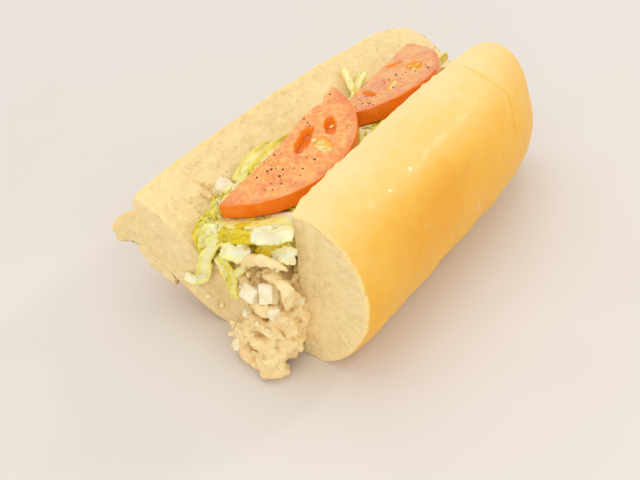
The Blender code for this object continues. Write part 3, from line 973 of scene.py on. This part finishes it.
def seedsAndPepper():
    rng = random.Random(21)
    seeds, specks = [], []
    for place in slicePlaces.values():
        pose = slicePose(place)
        for towardNear, across, long, wide, turn, deep, gel in place["chambers"]:
            for _ in range(int(tomatoLook["seedsInGel"] * gel)):
                a, b = rng.uniform(-0.8, 0.8), rng.uniform(-0.7, 0.7)
                t = math.radians(turn)
                x = towardNear + a * long * math.cos(t) - b * wide * math.sin(t)
                y = across + a * long * math.sin(t) + b * wide * math.cos(t)
                sunk = chamberDepth(place, x, y)[0] * tomatoLook["chamberDeep"]
                facts = (rng.uniform(0.6, 0.85), pose, rng.uniform(0, 6.3))
                seeds.append((pose @ Vector((x, y, -sunk + 0.05)), facts))
        marks = place["pepper"]
        for k in range(place["specks"]):
            if k < len(marks):
                x, y, size = *marks[k], rng.uniform(0.34, 0.52)
            else:
                c = marks[rng.randrange(len(marks))]
                x, y = c[0] + rng.gauss(0, 4.0), c[1] + rng.gauss(0, 3.0)
                size = rng.uniform(0.12, 0.28)
            if y < 0.9 or math.hypot(x, y + sliceShape["offset"]) > sliceShape["radius"] - 1.2:
                continue
            sunk = chamberDepth(place, x, y)[0] * tomatoLook["chamberDeep"]
            specks.append((pose @ Vector((x, y, -sunk + 0.08)), (size, pose)))

    def seedBit(k, c, info):
        size, pose, spin = info
        q = Vector((c.x * 1.5 * (1.0 - 0.3 * c.x), c.y * 0.95, c.z * 0.5)) * size
        return pose.to_3x3() @ (Matrix.Rotation(spin, 3, "Z") @ q)

    def speckBit(k, c, info):
        size, pose = info
        q = c * size * (1.0 + 0.6 * noise.noise(c * 1.6 + Vector((k * 2.1, 0, 0))))
        return pose.to_3x3() @ Vector((q.x, q.y, q.z * 0.6))

    seedObj = scatterBits("tomato_seeds", seeds, ballSeed, seedBit)
    finished(seedObj, None, wetBitMaterial("seed_skin", tomatoLook["seed"]))
    pepper = scatterBits("pepper_specks", specks, speckSeed, speckBit)
    finished(pepper, None, wetBitMaterial("cracked_pepper", tomatoLook["pepper"], 0.55))
    print("seeds", len(seeds), "specks", len(specks))


tomatoLooks = tomatoMaterial()
for node in slicePlaces:
    tomatoSlice(node, tomatoLooks)
seedsAndPepper()
print("tomato done")


# lettuce
lettuceLook = {
    "cream": srgb(252, 244, 206), "pale": srgb(250, 238, 156), "yellow": srgb(244, 226, 74),
    "green": srgb(230, 200, 8),
    "coreFace": 0.0016, "scattered": 190, "long": (12, 30), "wide": (2.4, 5.6), "turns": 5,
}


def lettuceMaterial():
    look = lettuceLook
    wet = {"Subsurface Weight": 0.2, "IOR": 1.4, "Coat Roughness": 0.12}
    mat, start, where, plug = newMaterial("crisp_lettuce", dict(soft, **wet))
    tone = start.attribute("tone")
    side = start.attribute("side")
    wander = start.noise(where, 90.0, 3.0)
    stops = [(0.0, look["cream"]), (0.35, look["pale"]), (0.7, look["yellow"]), (1.0, look["green"])]
    value = (tone + (wander - 0.5) * 0.5 + (side - 0.45) * 0.4).clamped()
    colour = start.make("ShaderNodeValToRGB", {"Fac": value}, {"stops": stops})
    vein = start.noise(where, 420.0, 4.0, 0.6)
    colour = vein.ranged(0.55, 0.8, 0.0, 0.4).blend(colour, look["cream"])
    plug("Base Color", colour)
    plug("Roughness", wander.ranged(0.3, 0.7, 0.22, 0.42))
    plug("Coat Weight", wander.ranged(0.4, 0.7, 0.1, 0.45))
    plug("Normal", start.bump(vein, 0.4))
    return mat


def clearOfSlices(points):   # lettuce beside a slice's skin is pressed down under its lower edge
    pressed = np.array(points)
    for place in slicePlaces.values():
        pose = slicePose(place)
        turn, middle = np.array(pose.to_3x3()), np.array(pose.translation)
        local = (pressed - middle) @ turn
        outside = np.hypot(local[:, 0], local[:, 1] + sliceShape["offset"]) - sliceShape["radius"]
        ceiling = -sliceShape["thick"] - 0.7 + 0.5 * np.maximum(outside, 0.0)
        near = (outside > -2.5) & (outside < 16.0) & (local[:, 1] > -1.5) & (local[:, 2] > ceiling)
        local[near, 2] = ceiling[near] + 0.08 * (local[near, 2] - ceiling[near])
        pressed = local @ turn.T + middle
    return pressed


def shredMesh(path, width, tone, seed, facing, curl=0.3, thick=0.55, columns=9, rows=30):
    # a ribbon along the path's points, its flat side to facing; it ripples and its edges curl
    def place(a, b):
        points = []
        tones = []
        for s, t in zip(a, b):
            here = alongPath(path, t)
            if t > 0.98:
                along = (alongPath(path, 1.0) - alongPath(path, 0.96)).normalized()
            else:
                along = (alongPath(path, t + 0.02) - here).normalized()
            turn = 0.8 * noise.noise(Vector((t * 2.5, seed, 0)))
            sideways = along.cross(facing).normalized()
            lift = sideways.cross(along).normalized()
            twist = Matrix.Rotation(turn, 3, along)
            sideways, lift = twist @ sideways, twist @ lift
            u = (s - 0.5) * 2.0
            ragged = 0.24 * noise.noise(Vector((t * 5, seed, u)))
            ragged += 0.14 * noise.noise(Vector((t * 14, seed, u * 2)))
            wide = width * 0.5 * (1.0 - 0.3 * abs(2 * t - 1) ** 9) * (1.0 + ragged)
            ripple = noise.noise(Vector((t * 7.0 + seed, u * 1.2, seed))) * (0.4 + abs(u)) * width * 0.2
            crumple = 0.75 * noise.noise(here / 2.6 + Vector((u * 1.1, seed, 0)))
            crumple += 0.3 * noise.noise(here / 1.2 + Vector((0, u * 2.2, seed)))
            ends = 0.7 * noise.noise(Vector((u * 1.8, seed, 4.0))) * (1 if abs(2 * t - 1) > 0.9 else 0)
            rise = curl * width * 0.5 * u * u + ripple + crumple
            p = here + sideways * (u * wide) + lift * rise + along * ends
            points.append(p)
            tones.append(tone + 0.22 * (t - 0.5) * math.sin(seed * 5))
        return clearOfSlices(points), {"tone": tones, "side": np.abs(np.array(a) - 0.5) * 2}

    strip = gridSheet("shred", columns, rows, place)
    applyModifier(strip, "SOLIDIFY", thickness=thick * mm, offset=0.0)
    return strip


shownShreds = [   # path, width, tone (0 cream, 1 deep yellow), and which way it faces
    ([(-43, -1, 38), (-45, -2, 36), (-46, -3, 33), (-44, -4, 30), (-42, -5, 26)], 3.4, 0.75, None),
    ([(-38, -2, 39), (-40, -3, 38), (-41, -4, 35), (-41, -5, 31)], 5.0, 0.3, None),
    ([(-34, -4, 38), (-36, -6, 36), (-38, -7, 31), (-39, -8, 27), (-40, -8, 22), (-43, -8, 19)],
     4.8, 0.32, None),
    ([(-39, -8, 23), (-42, -8, 19), (-45, -8, 17.5), (-49, -8, 17)], 3.2, 0.1, None),
    ([(-35, -3, 40), (-29, -4, 42), (-24, -4, 44), (-20, -3, 46)], 6.6, 1.0, None),
    ([(-35, -4, 37), (-30, -5, 39), (-26, -5, 41), (-22, -4, 43)], 5.0, 0.85, None),
    ([(-20, -5, 46), (-14, -6, 49), (-9, -6, 52), (-4, -5, 54)], 5.2, 0.02, None),
    ([(-20, -3, 41), (-16, -4, 43), (-12, -4, 44), (-8, -3, 46)], 5.6, 0.95, None),
    ([(-13, -5, 39), (-8, -6, 44), (-5, -6, 46), (-3, -5, 46)], 5.5, 0.08, None),
    ([(-32, -7, 36), (-28, -8, 38), (-24, -8, 39), (-20, -7, 41)], 5.6, 0.14, None),
    ([(-32, -7, 33), (-28, -8, 31), (-26, -9, 28), (-26, -9, 24), (-25, -9.5, 20)], 2.8, 0.5, None),
    ([(-34, -7, 32), (-31, -8, 29), (-29, -8, 26), (-27, -9, 23)], 2.6, 0.35, None),
    ([(-19, -8, 37), (-22, -9, 34), (-25, -9, 30)], 2.4, 0.3, None),
    ([(-41, 0, 40), (-44, -1, 36), (-45, -1, 31)], 4.0, 0.5, None),
    ([(-51, 24, 37), (-53, 31, 38), (-54, 36, 39), (-54, 41, 39), (-54, 48, 39)],
     4.4, 0.42, (0.5, 0.0, 0.86)),
    ([(-48, 30, 38), (-50, 38, 39), (-50, 46, 40), (-50, 54, 40)], 4.4, 0.5, (0.5, 0.0, 0.86)),
    ([(-62, 107, 42), (-58, 104, 40.5), (-54, 101, 39), (-49, 98, 36)], 3.2, 0.25, (0.5, 0.0, 0.86)),
    ([(-56, 114, 39), (-54, 107, 38.5), (-51, 100, 38), (-48, 94, 37)], 3.0, 0.3, (0.5, 0.0, 0.86)),
    ([(-36, 126, 36), (-35, 133, 38), (-33, 138, 41), (-31, 139, 44)], 2.6, 0.3, (0.3, -0.6, 0.7)),
    ([(-25, 62, 42), (-26, 72, 44), (-23, 80, 44), (-22, 90, 43)], 6.0, 0.85, (0.3, -0.3, 0.9)),
    ([(-19, 60, 45), (-19, 70, 47), (-18, 80, 47), (-17, 92, 47)], 5.0, 0.55, (0.3, -0.3, 0.9)),
]


def lettucePieces(look):
    core = nodeCopy("lettuce", "lettuce_core")
    applyModifier(core, "REMESH", mode="VOXEL", voxel_size=lettuceLook["coreFace"])
    points, normals = getCoords(core), getNormals(core)
    points += normals * (1.4 * lumps(points, 4.0, 3.0) + 0.7 * lumps(points, 1.9, 4.0) - 1.8)[:, None]
    points = clearOfSlices(points)
    setCoords(core, points)
    paint(core, "tone", 0.55 + 0.3 * lumps(points, 7.0, 5.0))
    paint(core, "side", np.zeros(len(points)))
    shadeSmooth(core)
    finished(core, "lettuce", look)
    skin = skinOf(core)

    def onHeap(p, above):
        spot, normal, _, _ = skin.find_nearest(toRow(p))
        return spot / mm + loafCentre + normal * above

    toViewer = Vector((0.35, -0.7, 0.6)).normalized()
    strips = []
    for k, (path, width, tone, facing) in enumerate(shownShreds):
        path = [Vector(p) for p in path]
        strips.append(shredMesh(path, width, tone, 3.0 + k * 2.3, Vector(facing or toViewer)))
    rng = random.Random(5)
    turns = lettuceLook["turns"]
    for k in range(lettuceLook["scattered"]):
        start = Vector((rng.uniform(-47, -5), rng.uniform(-3, 136), rng.uniform(38, 50)))
        if k % 4 == 0:
            start = Vector((rng.uniform(-42, -10), rng.uniform(-4, 3), rng.uniform(26, 38)))
        heading = rng.uniform(0, math.pi * 2)
        length = rng.uniform(*lettuceLook["long"])
        path, out = [], Vector((0, 0, 0))
        p = start.copy()
        for _ in range(turns + 1):
            path.append(onHeap(p, rng.uniform(-0.4, 0.6)))
            heading += rng.uniform(-0.5, 0.5)
            out += (path[-1] - onHeap(p, -1.0)).normalized()
            onward = Vector((math.cos(heading), math.sin(heading), rng.uniform(-0.3, 0.3)))
            p = path[-1] + onward * length / turns
        tone = rng.uniform(0.0, 0.6) if rng.random() < 0.65 else rng.uniform(0.6, 1.0)
        width = rng.uniform(*lettuceLook["wide"])
        strips.append(shredMesh(path, width, tone, k * 1.37, out.normalized(), columns=6, rows=20))
    heap = joined("lettuce_shreds", strips)
    shadeSmooth(heap)
    return finished(heap, "lettuce", look)


lettuceLooks = lettuceMaterial()
lettucePieces(lettuceLooks)
print("lettuce done")


# stray bits on the bread
def strayBits():
    inwards = Vector((0.536, 0.0, 0.844)).normalized()
    onion = [(Vector((-53.0, 19.0, 36.6)), 2.9), (Vector((-49.5, 22.0, 35.4)), 1.9)]

    def onionBit(k, c, size):
        turn = inwards.to_track_quat("Z", "Y").to_matrix() @ Matrix.Rotation(0.5 + k, 3, "Z")
        q = Vector((c.x * 1.1, c.y, c.z * 0.8)) * size
        return turn @ (q * (1 + 0.2 * noise.noise(c * 0.9 + Vector((k, 3, 0)))))

    finished(scatterBits("onion_on_bread", onion, diceSeed, onionBit), None,
             wetBitMaterial("onion", srgb(252, 240, 210), 0.3))

    rng = random.Random(33)
    crumbs = [(Vector(p), r) for p, r in (
        ((-57, 16, 38), 1.1), ((-54, 13, 36), 0.8), ((-59, 15, 39), 0.7), ((-62, 37, 41), 0.5),
        ((-59, 44, 39), 0.5),
        ((-43, -8, 16), 1.2), ((-38, -8.5, 14), 1.2), ((-27, -9.5, 8), 1.1), ((-32, -9, 13), 0.9),
        ((-35, -8, 12), 0.8), ((-35, -8, 10.4), 0.7), ((-35.2, -8, 8.8), 0.6))]
    for _ in range(40):
        x, y = rng.uniform(-58, -48), rng.uniform(4, 46)
        crumbs.append((Vector((x, y, 5 + 0.635 * (-6.5 - x))), rng.uniform(0.2, 0.5)))

    def crumbBit(k, c, size):
        return c * size * (1 + 0.7 * noise.noise(c * 1.5 + Vector((k * 1.9, 0, 0))))

    finished(scatterBits("stray_crumbs", crumbs, ballSeed, crumbBit), None,
             wetBitMaterial("salad_crumb", saladLook["cream"], 0.5))


strayBits()
print("stray bits done")


# floor, light, camera
studio = {
    "floorSize": 12.0, "skyStrength": 0.74, "white": (1, 1, 1, 1),
    "lamps": [   # name, place, aim, size, power
        ("key", (-0.35, 0.05, 1.25), (0, 0, 0.02), 1.3, 4.6),
        ("front", (0.1, -1.15, 0.62), (0, 0, 0.03), 1.2, 3.0),
        ("side", (1.1, -0.35, 0.4), (0, 0, 0.03), 1.0, 1.6),
        ("glint", (0.297, 0.674, 0.571), (0.02, 0, 0.04), 0.11, 1.0),
    ],
    "cameraAt": (132.1, -182.6, 233.1), "lookDown": 39.0, "lookTurn": 35.38, "lens": 53.44,
}


def stageScene():
    deselect()
    bpy.ops.mesh.primitive_plane_add(size=studio["floorSize"], location=(0, 0, 0))
    floor = bpy.context.object
    floor.name = "floor"
    mat, start, where, plug = newMaterial("pale_table", {"Roughness": 0.6})
    cloudy = start.noise(where, 9.0, 3.0).ranged(0.3, 0.7)
    plug("Base Color", cloudy.blend(srgb(224, 216, 207), srgb(227, 219, 211)))
    floor.data.materials.append(mat)

    for name, spot, aim, size, power in studio["lamps"]:
        data = bpy.data.lights.new(name, "AREA")
        data.shape, data.size, data.energy, data.color = "DISK", size, power, studio["white"][:3]
        lamp = bpy.data.objects.new(name, data)
        bpy.context.scene.collection.objects.link(lamp)
        lamp.location = spot
        lamp.rotation_euler = (Vector(aim) - Vector(spot)).to_track_quat("-Z", "Y").to_euler()

    world = bpy.data.worlds.new("studio")
    bpy.context.scene.world = world
    world.use_nodes = True
    sky = world.node_tree.nodes["Background"].inputs
    sky["Color"].default_value = studio["white"]
    sky["Strength"].default_value = studio["skyStrength"]

    data = bpy.data.cameras.new("view")
    data.sensor_width, data.lens = 36.0, studio["lens"]
    data.clip_start = 0.01
    camera = bpy.data.objects.new("view", data)
    bpy.context.scene.collection.objects.link(camera)
    elevation, turn = math.radians(studio["lookDown"]), math.radians(studio["lookTurn"])
    right = Vector((math.cos(turn), math.sin(turn), 0.0))
    level = math.cos(elevation)
    ahead = Vector((-math.sin(turn) * level, math.cos(turn) * level, -math.sin(elevation)))
    up = right.cross(ahead)
    spot = toRow(studio["cameraAt"])
    camera.matrix_world = Matrix((
        (right.x, up.x, -ahead.x, spot.x), (right.y, up.y, -ahead.y, spot.y),
        (right.z, up.z, -ahead.z, spot.z), (0, 0, 0, 1)))
    bpy.context.scene.camera = camera
    bpy.context.scene.view_settings.view_transform = "Standard"


stageScene()
bpy.context.view_layer.update()
print("scene done")
